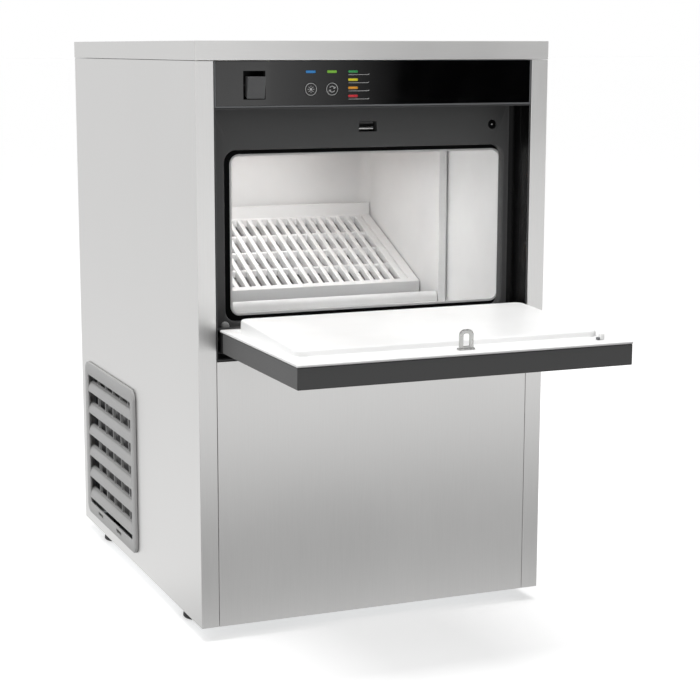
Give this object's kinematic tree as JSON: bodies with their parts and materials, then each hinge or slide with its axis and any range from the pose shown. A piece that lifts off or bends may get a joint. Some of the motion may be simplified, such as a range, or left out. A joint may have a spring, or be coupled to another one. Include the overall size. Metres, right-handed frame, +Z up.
{
  "type": "undercounter ice maker",
  "caption": "Upright steel ice maker with a drop-down front flap over a white bin, a slatted ice slide inside, a narrow control strip above and a louvred side vent.",
  "frame": {"origin": "centre of the object's plan with the flap open, at the level of the floor under its feet", "axes": "+Z up, -Y out of the front, where the flap opens, and +X to the right of a person facing the front"},
  "size_m": [0.3934, 0.7124, 0.611],
  "materials": {
    "steel": "satin",
    "galvanised": "satin",
    "copper": "satin",
    "aluminium": "satin",
    "chrome": "polished",
    "frame_grey": "satin",
    "flap_grey": "satin",
    "rocker_black": "satin",
    "housing_grey": "satin",
    "fascia_black": "gloss",
    "grey_plastic": "satin",
    "white_plastic": "satin",
    "white_slide": "satin",
    "rubber": "matte",
    "foam": "matte",
    "black_paint": "satin",
    "board_green": "matte",
    "lens_blue": "gloss",
    "lens_green": "gloss",
    "lens_amber": "gloss"
  },
  "bodies": {
    "cabinet": {"side_panel_left": "steel", "side_panel_right": "steel", "side_vent_grille": "grey_plastic", "lower_front_panel": "steel", "top_lid": "steel", "back_panel": "galvanised", "base_pan": "galvanised", "foot_front_left": "rubber", "foot_front_right": "rubber", "foot_rear_left": "rubber", "foot_rear_right": "rubber", "console_housing": "housing_grey", "console_fascia": "fascia_black", "rocker_housing": "rubber", "lamp_lens_left": "lens_blue", "lamp_lens_right": "lens_green", "status_lens": "lens_amber", "control_board": "board_green", "door_frame": "frame_grey", "mouth_seal": "rubber", "latch_catch": "frame_grey", "door_sensor": "rubber", "buffer_left": "grey_plastic", "buffer_right": "grey_plastic", "hinge_pin_left": "chrome", "hinge_pin_right": "chrome", "bin_liner": "white_plastic", "cabinet_foam": "foam", "ice_lining": "white_plastic", "ice_slide": "white_slide", "water_sump": "white_plastic", "spray_bar": "white_plastic", "evaporator": "copper", "evaporator_coil": "copper", "water_pump": "rubber", "pump_hose": "rubber", "inlet_valve": "white_plastic", "drain_fitting": "grey_plastic", "cord_gland": "rubber", "condenser": "aluminium", "fan_shroud": "galvanised", "fan_motor": "black_paint", "compressor": "black_paint", "hot_gas_valve": "copper", "discharge_tube": "copper", "suction_tube": "copper", "liquid_line": "copper"},
    "flap": {"flap_shell": "flap_grey", "flap_liner": "white_plastic", "flap_foam": "foam", "hinge_cap_left": "frame_grey", "hinge_cap_right": "frame_grey", "strike_loop": "chrome", "door_magnet": "white_plastic"},
    "rocker": {"rocker": "rocker_black"},
    "key_left": {"key_left": "fascia_black"},
    "key_right": {"key_right": "fascia_black"},
    "catch_jaw": {"catch_jaw": "chrome"},
    "fan": {"fan_blade": "aluminium"},
    "impeller": {"pump_impeller": "white_plastic"}
  },
  "joints": [
    {"name": "flap_hinge", "type": "hinge", "parent": "cabinet", "child": "flap", "pos_m": [0, -0.12735, 0.3145], "axis": [-1, 0, 0], "range_deg": [0, 90]},
    {"name": "rocker_tilt", "type": "hinge", "parent": "cabinet", "child": "rocker", "pos_m": [-0.1331, -0.12915, 0.5676], "axis": [-1, 0, 0], "range_deg": [0, 24]},
    {"name": "key_left_press", "type": "slide", "parent": "cabinet", "child": "key_left", "axis": [0, 1, 0], "range_m": [0, 0.001], "stiffness_N_per_m": 400, "springref_m": -0.001},
    {"name": "key_right_press", "type": "slide", "parent": "cabinet", "child": "key_right", "axis": [0, 1, 0], "range_m": [0, 0.001], "stiffness_N_per_m": 400, "springref_m": -0.001},
    {"name": "catch_jaw_lift", "type": "slide", "parent": "cabinet", "child": "catch_jaw", "axis": [0, 0, -1], "range_m": [0, 0.0016], "stiffness_N_per_m": 1500, "springref_m": -0.001},
    {"name": "fan_spin", "type": "hinge", "parent": "cabinet", "child": "fan", "pos_m": [-0.128, 0.20415, 0.127], "axis": [1, 0, 0], "continuous": true},
    {"name": "impeller_spin", "type": "hinge", "parent": "cabinet", "child": "impeller", "pos_m": [0.13, -0.01785, 0.123], "axis": [0, 0, 1], "continuous": true}
  ]
}
